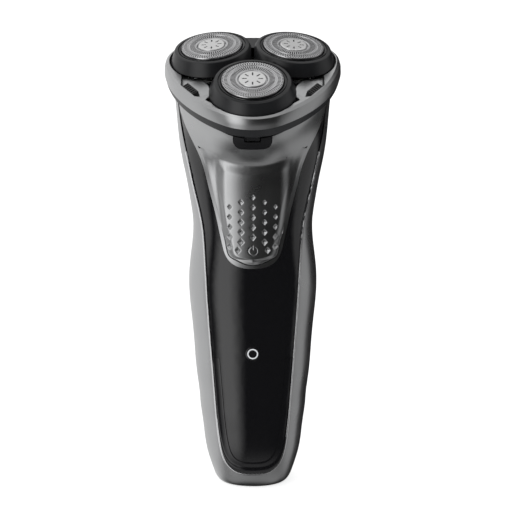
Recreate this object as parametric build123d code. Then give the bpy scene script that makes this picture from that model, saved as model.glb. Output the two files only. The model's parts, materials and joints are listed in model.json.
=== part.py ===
from build123d import *
import math
import os

# Rotary shaver with three pivoting cutters on a head that flips open.
# Row frame in millimetres: +Z up, -Y is the front, origin at the centre of the foot.
# Head frame: x across, t along the tilted face towards the back, h out of the face.
# Cutter frame: the same for one cutter, leaning outwards from the head's middle.

# ---------------------------------------------------------------- driving dimensions
HEAD_TILT = 21.0  # degrees, the shaving face leans forwards
HEAD_ORIGIN = (0, -4.0, 161.5)  # middle of the three caps' plane
CUTTER_LEAN = 6.0  # degrees, each cutter leans outwards
CUTTER_RADIUS = 17.3  # head middle to a cutter's middle, on the cap plane
CUTTERS = {"front": -90, "left": 150, "right": 30}  # directions in the head frame

CAP_RADIUS = 11.1
CAP_FLANGE_RADIUS = 12.0
CAP_SLOTS = 30  # slots in each of a cap's two tracks
RING_BORE = 11.4
RING_LIP_RADIUS = 13.9
RING_BASE_RADIUS = 15.6
RING_BASE = -5.6  # height of the skirt's lower edge in the cutter frame
RING_HUB_RADIUS = 13.3
RING_HUB_BOTTOM = -7.0
RING_GAP = 0.5  # each ring stays this far from the plane between two cutters
LEDGE_TOP = -6.7  # the cover reaches under the rings below this height
PIVOT_HEIGHT = -6.4  # a ring rocks about this line
PIVOT_PIN_RADIUS = 0.6
RUNNING = 0.07  # radial clearance of pins and shafts

COVER_TOP = -6.2
COVER_BOTTOM = -11.1
COVER_WALL = 1.8
TONGUE_CENTRE = (30.9, -14.9)  # the cover's side tongues are parts of a disc
TONGUE_RADIUS = 15.5
DECK_TOP = -8.3
DECK_BOTTOM = -9.5
FRAME_TOP = -9.7
FRAME_BOTTOM = -10.8

RIM_FRONT = (-30.5, 135.7)  # y and z of the body's rim at the front
RIM_BACK = (24.5, 159.9)  # y and z of the body's rim at the back
RIM_GAP = 0.25
HINGE_Y = 26.5
HINGE_Z = 158.2
HINGE_PIN_RADIUS = 0.8
KNUCKLE_RADIUS = 1.75
HINGE_LUG = (4.2, 8.6)  # x of the head's knuckles on each side
HINGE_MIDDLE = 3.9  # half length of the body's knuckle
HOOK_HALF = 2.6  # half width of the hook that holds the head shut

# Body sizes: height, half width, front reach, back reach, tilt, how much wider the back is
STATIONS = [
    (0.0, 12.0, 10.6, 10.8, 0.0, 0.0),
    (1.1, 13.5, 12.1, 12.4, 0.0, 0.0),
    (4.0, 14.9, 13.6, 14.0, 0.0, 0.0),
    (9.0, 16.5, 15.2, 15.8, 0.0, 0.0),
    (16.0, 18.0, 16.8, 17.6, 0.0, 0.0),
    (30.0, 19.6, 18.6, 19.8, 0.0, 0.0),
    (54.0, 21.9, 20.6, 22.0, 0.0, 0.0),
    (80.0, 23.6, 21.8, 23.0, 0.0, 0.0),
    (98.0, 21.9, 21.0, 21.6, 0.0, 0.0),
    (114.0, 23.9, 20.4, 22.4, 6.0, 0.04),
    (124.0, 25.9, 20.7, 24.3, 11.0, 0.11),
    (130.0, 26.6, 21.6, 25.7, 14.5, 0.20),
    (133.6, 26.6, 23.6, 26.5, 16.5, 0.26),
    (140.0, 26.8, 28.0, 27.2, 20.0, 0.33),
]
RIM_HALF_WIDTH = 26.8
RIM_WIDER = 0.35
SECTION_HEIGHTS = (0.0, 1.1, 4.0, 9.0, 16.0, 26.0, 38.0, 52.0, 66.0, 80.0, 90.0, 100.0, 110.0,
                   118.0, 126.0, 134.0, 141.0)
SECTION_POINTS = 16
SECTION_POWER = 2.25  # 2 is an ellipse, more is squarer
CAVITY_HEIGHTS = (2.2, 8.0, 18.0, 30.0, 54.0, 80.0, 98.0, 116.0, 127.0, 134.0, 141.0)
CAVITY_POINTS = 12
WALL = 2.0
PANEL_INSET = 0.35  # the glossy panel lies this far below the casing
PAD_INSET = 0.12

# Front outlines, right half, x and z, from the top down
PLATE_EDGE = [(27.0, 146.0), (25.6, 139.0), (22.6, 132.9), (20.0, 128.3), (17.5, 122.0),
              (15.9, 115.7), (13.9, 108.1), (12.3, 101.0), (11.0, 95.0), (9.6, 90.9),
              (7.5, 88.5), (4.2, 87.1), (0.0, 86.7)]
WING_EDGE = [(27.4, 146.0), (26.9, 141.5), (25.3, 132.0), (23.1, 123.1), (21.3, 114.9),
             (19.1, 106.1), (17.9, 99.4), (17.3, 92.6), (16.3, 74.4), (15.3, 58.9),
             (13.6, 36.0), (12.2, 21.5), (11.3, 16.6), (9.6, 12.4), (6.4, 9.4), (0.0, 8.4)]
CREASE = [(16.0, 128.6), (9.0, 126.0), (0.0, 124.8)]  # upper edge of the pad, right half
SEAM = 0.15  # gap between neighbouring casing pieces
PLATE_BORDER = 1.35  # width of the frame round the pad's lower end
BACK_EDGE = [(40.0, 6.5), (20.0, 6.8), (11.5, 10.5), (6.0, 22.0), (3.5, 50.0), (4.0, 80.0),
             (6.5, 110.0), (10.0, 135.0), (14.0, 160.0), (16.0, 175.0)]  # y and z

GEAR_MODULE = 0.5
PINION_TEETH = 25
GEAR_TEETH = 41
GEAR_TOP = -17.4
GEAR_BOTTOM = -19.4
BODY_DECK_TOP = -15.6
BODY_DECK_BOTTOM = -16.8
CHASSIS_TOP = -19.9
CHASSIS_BOTTOM = -21.4
MOTOR_RADIUS = 10.2
MOTOR_TOP = -21.4
MOTOR_BOTTOM = -40.0
SHAFT_RADIUS = 0.75
SPINDLE_RADIUS = 1.5
SPINDLE_TIP = -6.9
SCREW_RADIUS_IN_HEAD = 18.2  # the deck's screws stand on this circle

BATTERY_RADIUS = 7.0
BATTERY_BOTTOM = 34.0
BATTERY_TOP = 84.0
BATTERY_Y = 3.0
BOARD_Y = -12.5
BOARD_THICKNESS = 1.2
BOARD_HALF_WIDTH = 9.0
SWITCH_Z = 93.4
SWITCH_FRONT = -15.45
LIGHT_Z = 54.5
LIGHT_RADIUS = 2.7
PORT_Y = 5.2

parts = {}


# ---------------------------------------------------------------- frames
def head_frame():
    tilt = math.radians(HEAD_TILT)
    return Plane(HEAD_ORIGIN, x_dir=(1, 0, 0), z_dir=(0, -math.sin(tilt), math.cos(tilt)))


def cutter_frame(direction):
    """Cutter frame in the head frame: its x points away from the head's middle."""
    angle = math.radians(direction)
    lean = math.radians(CUTTER_LEAN)
    out = Vector(math.cos(angle), math.sin(angle), 0)
    axis = out * math.sin(lean) + Vector(0, 0, 1) * math.cos(lean)
    flat = out * math.cos(lean) - Vector(0, 0, 1) * math.sin(lean)
    return Plane(out * CUTTER_RADIUS, x_dir=flat, z_dir=axis)


HEAD = head_frame().location
CUTTER = {name: cutter_frame(direction).location for name, direction in CUTTERS.items()}
RIM_TILT = math.degrees(math.atan2(RIM_BACK[1] - RIM_FRONT[1], RIM_BACK[0] - RIM_FRONT[0]))
GEAR_DISTANCE = GEAR_MODULE * (PINION_TEETH + GEAR_TEETH) / 2


def above_rim():
    """All the space over the plane of the body's rim."""
    tilt = math.radians(RIM_TILT)
    normal = (0, -math.sin(tilt), math.cos(tilt))
    rim = Plane((0, RIM_FRONT[0], RIM_FRONT[1]), x_dir=(1, 0, 0), z_dir=normal)
    return rim.location * Pos(0, 0, 50) * Box(160, 160, 100)


# ---------------------------------------------------------------- simple solids
def disc(radius, bottom, top, x=0.0, y=0.0):
    height = top - bottom
    return Pos(x, y, bottom + height / 2) * Cylinder(radius, height)


def tube(outer, inner, bottom, top, x=0.0, y=0.0):
    return disc(outer, bottom, top, x, y) - disc(inner, bottom - 1, top + 1, x, y)


def block(x_range, y_range, z_range):
    size = [b - a for a, b in (x_range, y_range, z_range)]
    middle = [(a + b) / 2 for a, b in (x_range, y_range, z_range)]
    return Pos(*middle) * Box(*size)


def prism(corners, bottom, top):
    face = make_face(Polyline(*corners, close=True))
    return Pos(0, 0, bottom) * extrude(face, top - bottom, dir=(0, 0, 1))


def turned(profile):
    """A solid of revolution about Z from radius and height pairs."""
    outline = [(radius, 0, height) for radius, height in profile]
    return revolve(make_face(Polyline(*outline, close=True)), Axis.Z)


def hexagon(across_flats, bottom, top):
    face = RegularPolygon(across_flats / 2, 6, major_radius=False)
    return Pos(0, 0, bottom) * extrude(face, top - bottom)


# ---------------------------------------------------------------- head outline
def enclosing_centre(centre_a, radius_a, centre_b, radius_b, big_radius):
    """Centre of a big circle that touches two small ones from outside, right of a to b."""
    ax, ay = centre_a
    bx, by = centre_b
    reach_a = big_radius - radius_a
    reach_b = big_radius - radius_b
    gap = math.hypot(bx - ax, by - ay)
    along = (reach_a**2 - reach_b**2 + gap**2) / (2 * gap)
    across = math.sqrt(reach_a**2 - along**2)
    ux, uy = (bx - ax) / gap, (by - ay) / gap
    return ax + along * ux - across * uy, ay + along * uy + across * ux


def arc_between(centre, radius, start, end):
    a = math.atan2(start[1] - centre[1], start[0] - centre[0])
    b = math.atan2(end[1] - centre[1], end[0] - centre[0])
    if b < a:
        b += 2 * math.pi
    at = [(centre[0] + radius * math.cos(v), centre[1] + radius * math.sin(v))
          for v in (a, (a + b) / 2, b)]
    return ThreePointArc(*at)


def head_outline(inset):
    """Rounded triangle of six tangent arcs, moved inwards by inset."""
    front, corner_r, corner_l = (0, -16.0), (14.8, 8.6), (-14.8, 8.6)
    front_radius, corner_radius, side_radius, back_radius = 18.0, 17.6, 52.0, 90.0
    circles = [
        (front, front_radius), (corner_r, corner_radius), (corner_l, corner_radius)]
    bulges = [side_radius, back_radius, side_radius]
    big = []
    for i in range(3):
        (a, ra), (b, rb) = circles[i], circles[(i + 1) % 3]
        big.append(enclosing_centre(a, ra, b, rb, bulges[i]))

    def touch(i, small):
        (sx, sy), radius = circles[small]
        dx, dy = sx - big[i][0], sy - big[i][1]
        length = math.hypot(dx, dy)
        reach = radius - inset
        return sx + dx / length * reach, sy + dy / length * reach

    edges = []
    for i in range(3):
        after = (i + 1) % 3
        edges.append(arc_between(circles[i][0], circles[i][1] - inset,
                                 touch((i + 2) % 3, i), touch(i, i)))
        edges.append(arc_between(big[i], bulges[i] - inset, touch(i, i), touch(i, after)))
    return make_face(edges)


def head_slab(inset, bottom, top):
    return Pos(0, 0, bottom) * extrude(head_outline(inset), top - bottom)


def head_loft(levels):
    """Straight-sided loft through (height, inset) pairs."""
    return loft([Pos(0, 0, h) * head_outline(inset) for h, inset in levels], ruled=True)


# ---------------------------------------------------------------- cutters
def between_cutters(direction, gap):
    """Wedge of the head that belongs to one cutter, kept gap away from its neighbours."""
    reach = 90.0
    half = math.radians(60)
    start = gap / math.sin(half)
    wedge = prism([(start, 0), (start + reach * math.cos(half), reach * math.sin(half)),
                   (start + reach * math.cos(half), -reach * math.sin(half))], -30, 30)
    return Rot(0, 0, direction) * wedge


def cutter_ring():
    ring = turned([
        (RING_BORE, -0.95), (12.05, -0.8), (12.1, -1.35), (12.4, -1.35), (12.45, -0.8),
        (13.2, -0.85), (RING_LIP_RADIUS - 0.25, -1.05), (RING_LIP_RADIUS, -1.5),
        (RING_BASE_RADIUS - 0.1, RING_BASE + 0.3), (RING_BASE_RADIUS, RING_BASE),
        (RING_HUB_RADIUS, RING_BASE), (RING_HUB_RADIUS, RING_HUB_BOTTOM),
        (12.3, RING_HUB_BOTTOM), (12.3, -2.2), (RING_BORE, -2.0)])
    for side in (90, -90):
        pin = Rot(0, 0, side) * Pos(13.9, 0, PIVOT_HEIGHT) * Rot(0, 90, 0)
        ring += pin * Cylinder(PIVOT_PIN_RADIUS, 2.0)
    return ring


def guard_cap():
    cap = turned([
        (0, -0.75), (5.1, -0.75), (5.3, -0.25), (5.6, 0.0), (8.2, 0.0), (8.3, -0.2), (8.6, -0.2),
        (8.7, 0.0), (10.8, 0.0), (CAP_RADIUS, -0.3), (CAP_RADIUS, -2.5),
        (CAP_FLANGE_RADIUS, -2.5), (CAP_FLANGE_RADIUS, -3.1), (10.6, -3.1), (10.6, -0.5),
        (5.4, -0.5), (5.3, -1.3), (0, -1.3)])
    slot_inner = block((6.1, 8.0), (-0.16, 0.16), (-1.0, 0.5))
    slot_outer = block((9.0, 10.5), (-0.18, 0.18), (-1.0, 0.5))
    step = 360 / CAP_SLOTS
    slots = [Rot(0, 0, i * step) * slot_inner for i in range(CAP_SLOTS)]
    slots += [Rot(0, 0, (i + 0.5) * step) * slot_outer for i in range(CAP_SLOTS)]
    return cap - slots


def cap_badge():
    badge = turned([(0, -0.75), (4.9, -0.75), (4.9, 0.05), (4.6, 0.2), (0, 0.25)])
    marks = [Rot(0, 0, a) * Pos(2.9, 0, 0.45) * Box(1.6, 0.5, 0.9)
             for a in range(0, 360, 45)]
    return badge - marks


def rotary_blade():
    web = tube(8.9, 1.9, -3.0, -2.4)
    outer = tube(10.3, 8.8, -3.0, -2.4)
    blade = block((8.95, 10.25), (-0.2, 0.2), (-2.6, -0.6))
    inner_blade = block((6.2, 7.9), (-0.2, 0.2), (-2.6, -0.6))
    count = 9
    blades = [Rot(0, 0, i * 360 / count) * b
              for i in range(count) for b in (blade, inner_blade)]
    return web + outer + blades


def blade_carrier():
    body = turned([(0, -1.45), (1.8, -1.45), (1.8, -3.1), (5.0, -3.1), (5.0, -3.9), (3.5, -4.6),
                   (3.5, -9.0), (0, -9.0)])
    return body - hexagon(4.4, -10, -5.6)


for name, direction in CUTTERS.items():
    place = HEAD * CUTTER[name]
    ring_in_head = CUTTER[name] * cutter_ring() & between_cutters(direction, RING_GAP)
    parts[f"cutter_ring_{name}"] = HEAD * ring_in_head
    parts[f"guard_cap_{name}"] = place * guard_cap()
    parts[f"cap_badge_{name}"] = place * cap_badge()
    parts[f"rotary_blade_{name}"] = place * rotary_blade()
    parts[f"blade_carrier_{name}"] = place * blade_carrier()


# ---------------------------------------------------------------- head cover and vents
def biggest(shape):
    return shape.solids().sort_by(SortBy.VOLUME)[-1]


def hinge_arm(side, grow):
    """One of the two arms that join the head base to its outer knuckles, in the row frame."""
    middle = side * (HINGE_LUG[0] + HINGE_LUG[1]) / 2
    half = (HINGE_LUG[1] - HINGE_LUG[0]) / 2 + grow
    back = HINGE_Y + 1.2 + grow
    return block((middle - half, middle + half), (HINGE_Y - 4.5, back),
                 (160.4 - grow, 162.0 + grow))


def cutter_holes(radius, bottom, top):
    return [CUTTER[name] * disc(radius, bottom, top) for name in CUTTERS]


def saddle_slots():
    """Room in the cover's ledges for the posts under the rings."""
    slot = block((12.0, 15.2), (-1.6, 1.6), (-20, RING_BASE))
    return [CUTTER[name] * Rot(0, 0, side) * slot for name in CUTTERS for side in (90, -90)]


def tongues(grow):
    x, t = TONGUE_CENTRE
    return [disc(TONGUE_RADIUS + grow, -30, 0, side * x, t) for side in (-1, 1)]


def pocket(side):
    """Recess with a floor that falls outwards, between the front ring and a back ring."""
    plan = [(25.8, 2.0), (25.8, -10.4), (20.6, -18.6), (18.4, -19.2), (14.0, -15.0), (14.0, 2.0)]
    recess = prism(plan, -16, 5)
    floor = Pos(19.8, -9.4, -6.9) * Rot(0, 0, -32) * Rot(0, 17, 0) * Pos(0, 0, 10)
    cut = recess & (floor * Box(40, 40, 20))
    return cut if side > 0 else cut.mirror(Plane.YZ)


VENT_PLACE = Pos(21.9, -12.2, -8.2) * Rot(0, 0, -32) * Rot(0, 17, 0)  # of the right vent


def vent_body(grow, side):
    body = VENT_PLACE * Box(2.5 + 2 * grow, 7.2 + 2 * grow, 3.4)
    return body if side > 0 else body.mirror(Plane.YZ)


def head_cover():
    cover = head_loft([(COVER_BOTTOM, 0.0), (-8.6, 0.12), (-7.1, 0.55), (COVER_TOP, 1.5)])
    hollow = head_loft([(COVER_BOTTOM - 1, COVER_WALL), (DECK_TOP + 0.1, COVER_WALL),
                        (COVER_TOP - 1.2, 2.6)])
    cover -= hollow - tongues(0)
    web = head_slab(2.9, -20, 0) - tongues(0)
    cover -= web
    cover -= cutter_holes(RING_BASE_RADIUS + 0.5, LEDGE_TOP, 5)
    cover -= cutter_holes(RING_HUB_RADIUS + 0.7, -20, 5)
    cover -= saddle_slots()
    for side in (-1, 1):
        cover -= pocket(side)
        cover -= vent_body(0.03, side)
        cover -= HEAD.inverse() * hinge_arm(side, 0.15)
    return biggest(cover)


def vent_insert(side):
    insert = vent_body(0, side)
    grooves = [VENT_PLACE * Pos(0, -3.0 + 1.2 * i, 1.7) * Box(1.7, 0.5, 1.2) for i in range(6)]
    if side < 0:
        grooves = [g.mirror(Plane.YZ) for g in grooves]
    return insert - grooves


parts["head_cover"] = HEAD * head_cover()
parts["vent_insert_left"] = HEAD * vent_insert(-1)
parts["vent_insert_right"] = HEAD * vent_insert(1)


# ---------------------------------------------------------------- head base
def saddles():
    """Posts that carry the rings' pivot pins."""
    posts = []
    for name in CUTTERS:
        for side in (90, -90):
            post = block((13.5, 14.9), (-1.3, 1.3), (-9.6, PIVOT_HEIGHT + 0.2))
            hole = Pos(14.2, 0, PIVOT_HEIGHT) * Rot(0, 90, 0)
            post -= hole * Cylinder(PIVOT_PIN_RADIUS + RUNNING, 4)
            posts.append(CUTTER[name] * Rot(0, 0, side) * post)
    return posts


def hinge_cylinder(radius, x_range):
    """A cylinder about the hinge line, in the row frame."""
    place = Pos((x_range[0] + x_range[1]) / 2, HINGE_Y, HINGE_Z) * Rot(0, 90, 0)
    return place * Cylinder(radius, x_range[1] - x_range[0])


def knuckle(x_range):
    return hinge_cylinder(KNUCKLE_RADIUS, x_range)


def head_base():
    band = head_loft([(COVER_BOTTOM, 0.1), (-15.5, 0.95)])
    band -= head_slab(3.0, -20, -5)
    wall = head_slab(COVER_WALL + 0.12, COVER_BOTTOM - 0.5, DECK_BOTTOM + 0.5)
    wall -= head_slab(3.3, -20, -5)
    wall -= tongues(0.12)
    deck = head_slab(COVER_WALL + 0.12, DECK_BOTTOM, DECK_TOP) - tongues(0.12)
    deck += disc(5.0, DECK_BOTTOM, DECK_TOP)
    back_block = prism([(-0.6, 15.8), (0.6, 15.8), (2.8, 20.6), (2.8, 23.6), (-2.8, 23.6),
                        (-2.8, 20.6)], DECK_BOTTOM, -4.9)
    base = band + wall + deck + back_block
    base -= cutter_holes(RING_HUB_RADIUS + 0.45, -12, 5)
    base -= disc(1.5 + RUNNING, -20, 0)
    base += saddles()
    base = HEAD * base & above_rim()
    lugs = []
    for side in (-1, 1):
        x_range = sorted((side * HINGE_LUG[0], side * HINGE_LUG[1]))
        drop = block(x_range, (HINGE_Y - 1.5, HINGE_Y + 1.2), (HINGE_Z, 161.0))
        lugs.append(hinge_arm(side, 0) + drop + knuckle(x_range))
    bore = hinge_cylinder(HINGE_PIN_RADIUS + RUNNING, (-20, 20))
    relief = hinge_cylinder(KNUCKLE_RADIUS + 0.35, (-HINGE_MIDDLE - 0.15, HINGE_MIDDLE + 0.15))
    hook_arm = block((-HOOK_HALF, HOOK_HALF), (-28.6, -27.4), (134.5, 140.2))
    hook_barb = block((-HOOK_HALF, HOOK_HALF), (-28.3, -26.5), (134.5, 135.5))
    return biggest(base + lugs + hook_arm + hook_barb - bore - relief)


parts["head_base"] = head_base()
parts["hinge_pin"] = hinge_cylinder(HINGE_PIN_RADIUS, (-8.7, 8.7))


# ---------------------------------------------------------------- retaining frame and lock
def retaining_frame():
    frame = disc(9.0, FRAME_BOTTOM, FRAME_TOP)
    for direction in CUTTERS.values():
        frame += Rot(0, 0, direction) * disc(9.0, FRAME_BOTTOM, FRAME_TOP, 16.2, 0)
    for direction in CUTTERS.values():
        frame -= Rot(0, 0, direction) * disc(5.2, FRAME_BOTTOM - 1, FRAME_TOP + 1, 16.2, 0)
    return frame - disc(1.5 + RUNNING, -20, 0)


def retainer_lock():
    knob = disc(5.0, -12.3, FRAME_BOTTOM - 0.1) + disc(1.5, -12.3, DECK_TOP - 0.2)
    return knob + block((-4.4, 4.4), (-0.8, 0.8), (-13.5, -12.2))


parts["retaining_frame"] = HEAD * retaining_frame()
parts["retainer_lock"] = HEAD * retainer_lock()


# ---------------------------------------------------------------- body envelope
def monotone_slopes(xs, ys):
    """Slopes of a curve through the points that never overshoots them."""
    steps = [(ys[i + 1] - ys[i]) / (xs[i + 1] - xs[i]) for i in range(len(xs) - 1)]
    slopes = [steps[0]]
    for a, b in zip(steps, steps[1:]):
        slopes.append(2 * a * b / (a + b) if a * b > 0 else 0.0)
    return slopes + [steps[-1]]


def smooth_value(xs, ys, slopes, x):
    i = max(k for k in range(len(xs) - 1) if xs[k] <= x or k == 0)
    width = xs[i + 1] - xs[i]
    u = (x - xs[i]) / width
    start = (1 + 2 * u) * (1 - u) ** 2 * ys[i] + u * (1 - u) ** 2 * width * slopes[i]
    end = u * u * (3 - 2 * u) * ys[i + 1] + u * u * (u - 1) * width * slopes[i + 1]
    return start + end


def rim_station():
    """The top section lies in the rim plane."""
    tilt = math.radians(RIM_TILT)
    height = RIM_FRONT[1] - RIM_FRONT[0] * math.tan(tilt)
    front = -RIM_FRONT[0] / math.cos(tilt) - 0.2
    back = RIM_BACK[0] / math.cos(tilt) + 0.3
    height -= RIM_GAP / math.cos(tilt)
    return height, RIM_HALF_WIDTH, front, back, RIM_TILT, RIM_WIDER


def station_at(height):
    """Section sizes at any height, between the given stations."""
    keys = STATIONS + [rim_station()]
    heights = [key[0] for key in keys]
    columns = [[key[i] for key in keys] for i in range(1, 6)]
    values = [smooth_value(heights, c, monotone_slopes(heights, c), height) for c in columns]
    return (height, *values)


def section(station, inset, count):
    """Closed smooth curve at one height of the body."""
    z, half, front, back, tilt, wider = station
    lean = math.radians(tilt)
    points = []
    for i in range(count):
        angle = 2 * math.pi * (i + 0.5) / count + math.pi / 2
        c, s = math.cos(angle), math.sin(angle)
        x = (half - inset) * math.copysign(abs(c) ** (2 / SECTION_POWER), c)
        outer_reach = back if s > 0 else front
        y = (outer_reach - inset) * math.copysign(abs(s) ** (2 / SECTION_POWER), s)
        x *= 1 + wider * y / outer_reach
        points.append((x, y * math.cos(lean), z + y * math.sin(lean)))
    return make_face(Spline(*points, periodic=True))


def envelope(inset):
    """The body's outer form, smaller by inset, up to the rim."""
    stations = [station_at(height) for height in SECTION_HEIGHTS] + [rim_station()]
    return loft([section(station, inset, SECTION_POINTS) for station in stations])


def inner_form(inset):
    """A plainer form for the inside, which runs on past the rim."""
    stations = [station_at(height) for height in CAVITY_HEIGHTS] + [rim_station()]
    below, rim = stations[-2:]
    above = tuple(r + (r - b) * 0.4 for r, b in zip(rim, below))
    stations.append(above)
    return loft([section(station, inset, CAVITY_POINTS) for station in stations])


OUTER = envelope(0)
CAVITY = inner_form(WALL)
PANEL_FORM = envelope(PANEL_INSET)
PAD_FORM = envelope(PAD_INSET)
CASING = OUTER - CAVITY


# ---------------------------------------------------------------- front outlines
def front_region(edge, grow):
    """Half outline mirrored and pushed through the front half of the body."""
    right = [(x + grow if x > 0 else 0.0, z - (grow if i >= len(edge) - 3 else 0))
             for i, (x, z) in enumerate(edge)]
    left = [(-x, z) for x, z in reversed(right[:-1])]
    curve = Spline(*[(x, 0, z) for x, z in right + left])
    top = 175.0
    first, last = (right[0][0], 0, right[0][1]), (left[-1][0], 0, left[-1][1])
    lid = Polyline(first, (first[0], 0, top), (last[0], 0, top), last)
    face = make_face([curve, lid])
    return extrude(face, 60, dir=(0, -1, 0))


def below_crease(drop):
    right = [(x, z - drop) for x, z in CREASE]
    curve = Spline(*[(x, 0, z) for x, z in right + [(-x, z) for x, z in reversed(right[:-1])]])
    ends = (40.0, right[0][1] + 9.0)
    sides = Polyline((right[0][0], 0, right[0][1]), (ends[0], 0, ends[1]), (ends[0], 0, 40),
                     (-ends[0], 0, 40), (-ends[0], 0, ends[1]), (-right[0][0], 0, right[0][1]))
    return extrude(make_face([curve, sides]), 60, dir=(0, -1, 0))


def back_region(shift):
    points = [(0, y + shift, z) for y, z in BACK_EDGE]
    curve = Spline(*points)
    outside = Polyline(points[-1], (0, 60, 175), (0, 60, points[0][2]), points[0])
    return Pos(-50, 0, 0) * extrude(make_face([curve, outside]), 100, dir=(1, 0, 0))


PLATE_REGION = front_region(PLATE_EDGE, 0)
PLATE_REGION_WIDE = front_region(PLATE_EDGE, SEAM)
WING_REGION = front_region(WING_EDGE, 0)
WING_REGION_WIDE = front_region(WING_EDGE, SEAM)
PAD_REGION = front_region(PLATE_EDGE, -PLATE_BORDER) & below_crease(0)
PAD_REGION_WIDE = front_region(PLATE_EDGE, SEAM - PLATE_BORDER) & below_crease(-SEAM)
BACK_REGION = back_region(0)
BACK_REGION_WIDE = back_region(-SEAM)


def release_region(grow):
    """Rounded tab at the top of the neck, seen from the front."""
    width, low, high, radius = 13.6 + 2 * grow, 131.4 - grow, 142.0, 3.2 + grow
    face = make_face(Polyline((-width / 2, 0, low), (width / 2, 0, low), (width / 2, 0, high),
                              (-width / 2, 0, high), close=True))
    tab = extrude(face, 60, dir=(0, -1, 0))
    lower = tab.edges().filter_by(Axis.Y).sort_by(Axis.Z)[:2]
    return fillet(lower, radius)


# ---------------------------------------------------------------- casing pieces
def forward_cylinder(radius, z, back=0.0, front=-60.0):
    """A cylinder that runs along Y on the middle line."""
    return Pos(0, (back + front) / 2, z) * Rot(90, 0, 0) * Cylinder(radius, back - front)


def main_housing():
    shell = CASING - WING_REGION_WIDE - PLATE_REGION_WIDE - BACK_REGION_WIDE
    port = Pos(0, PORT_Y, -1) * extrude(SlotOverall(9.5, 3.9), 6)
    return biggest(shell - port)


def front_panel():
    panel = (PANEL_FORM - CAVITY) & WING_REGION
    panel = panel - PLATE_REGION_WIDE - BACK_REGION_WIDE
    return biggest(panel - forward_cylinder(LIGHT_RADIUS + 0.05, LIGHT_Z))


def thumb_plate():
    plate = CASING & PLATE_REGION
    plate = plate - PAD_REGION_WIDE - release_region(SEAM) - BACK_REGION_WIDE
    return biggest(plate)


def dimple_places():
    """Staggered rows of diamond dimples, as x, z and size."""
    pitch = 3.62
    places = []
    for column, x in enumerate((0.0, 4.2, 8.2)):
        first = 98.4 + (0 if column == 0 else -pitch / 2 if column == 1 else -pitch)
        for row in range(5):
            z = first + row * pitch
            size = 1.75 - 0.16 * row
            for side in ((1,) if column == 0 else (-1, 1)):
                places.append((side * x, z, size))
    for side in (-1, 1):
        places.append((side * 5.3, 93.6, 1.8))
    return places


def front_depth(x, z):
    """Y of the body's front surface."""
    hits = OUTER.find_intersection_points(Axis((x, -60, z), (0, 1, 0)))
    return min(point.Y for point, _ in hits)


def power_button():
    pad = biggest((PAD_FORM - CAVITY) & PAD_REGION)
    cuts = []
    for x, z, size in dimple_places():
        y = front_depth(x, z)
        diamond = Pos(x, y - 0.45, z) * Rot(0, 45, 0) * Box(size, 2.4, size)
        cuts.append(diamond)
    face = front_depth(0, SWITCH_Z)
    ring = forward_cylinder(1.75, SWITCH_Z, face + 0.35, face - 1)
    ring -= forward_cylinder(1.35, SWITCH_Z, face + 1, face - 2)
    ring -= Pos(0, face, SWITCH_Z + 1.8) * Box(1.3, 3, 2)
    bar = Pos(0, face, SWITCH_Z + 1.3) * Box(0.4, 0.7, 1.7)
    pad -= cuts + [ring, bar]
    rib = forward_cylinder(2.0, SWITCH_Z, -16.0, -19.4)
    return biggest(pad + rib)


def rear_cover():
    cover = CASING & BACK_REGION
    span = (-HINGE_MIDDLE, HINGE_MIDDLE)
    lug = block(span, (HINGE_Y - 4.2, HINGE_Y), (HINGE_Z - KNUCKLE_RADIUS, HINGE_Z))
    for side in (-1, 1):
        x_range = sorted((side * (HINGE_LUG[0] - 0.15), side * (HINGE_LUG[1] + 0.15)))
        cover -= hinge_cylinder(KNUCKLE_RADIUS + 0.35, x_range)
    cover = cover + lug + knuckle(span)
    return biggest(cover - hinge_cylinder(HINGE_PIN_RADIUS, (-20, 20)))


parts["main_housing"] = main_housing()
parts["front_panel"] = front_panel()
parts["thumb_plate"] = thumb_plate()
parts["power_button"] = power_button()
parts["rear_cover"] = rear_cover()


def status_light():
    return biggest((PANEL_FORM - CAVITY) & forward_cylinder(LIGHT_RADIUS, LIGHT_Z))


def release_button():
    """Tab in the neck, thin at the top, with a post whose nose holds the head's hook."""
    skin = (PAD_FORM - inner_form(1.5)) & release_region(0)
    skin &= block((-20, 20), (-60, 0), (100, 134.2))
    upper = PAD_FORM & block((-8, 8), (-60, -20), (133.0, 142))
    upper = (upper - Pos(0, 0.6, 0) * upper) & release_region(0)
    upper -= block((-HOOK_HALF - 0.3, HOOK_HALF + 0.3), (-60, 0), (134.2, 142))
    stem = block((-3.6, 3.6), (-27.2, -25.3), (132.4, 133.6))
    post = block((-2.4, 2.4), (-26.2, -25.3), (132.4, 136.6))
    nose = block((-2.4, 2.4), (-27.1, -25.3), (135.8, 136.6))
    return biggest(biggest(skin) + upper + stem + post + nose)


parts["status_light"] = status_light()
parts["release_button"] = release_button()


# ---------------------------------------------------------------- gear train
def involute(base, radius):
    """Angle turned by an involute when it has reached this radius."""
    ratio = max(radius / base, 1.0)
    pressure = math.acos(1 / ratio)
    return math.tan(pressure) - pressure


def gear_face(teeth, addendum, dedendum, thinning):
    """Outline of an involute gear with a tooth centred on its x axis."""
    pitch = GEAR_MODULE * teeth / 2
    base = pitch * math.cos(math.radians(20))
    tip, root = pitch + addendum, pitch - dedendum
    half = (math.pi * GEAR_MODULE / 2 - thinning) / 2 / pitch
    flank = []
    for i in range(3):
        radius = max(root, base) + (tip - max(root, base)) * i / 2
        flank.append((radius, half + involute(base, pitch) - involute(base, radius)))
    points = []
    for k in range(teeth):
        middle = 2 * math.pi * k / teeth
        foot = min(flank[0][1] + 0.02 / pitch, math.pi / teeth * 0.9)
        polar = [(root, -foot)] + [(r, -a) for r, a in flank]
        polar += [(r, a) for r, a in reversed(flank)] + [(root, foot)]
        points += [(r * math.cos(middle + a), r * math.sin(middle + a)) for r, a in polar]
    return make_face(Polyline(*points, close=True))


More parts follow.
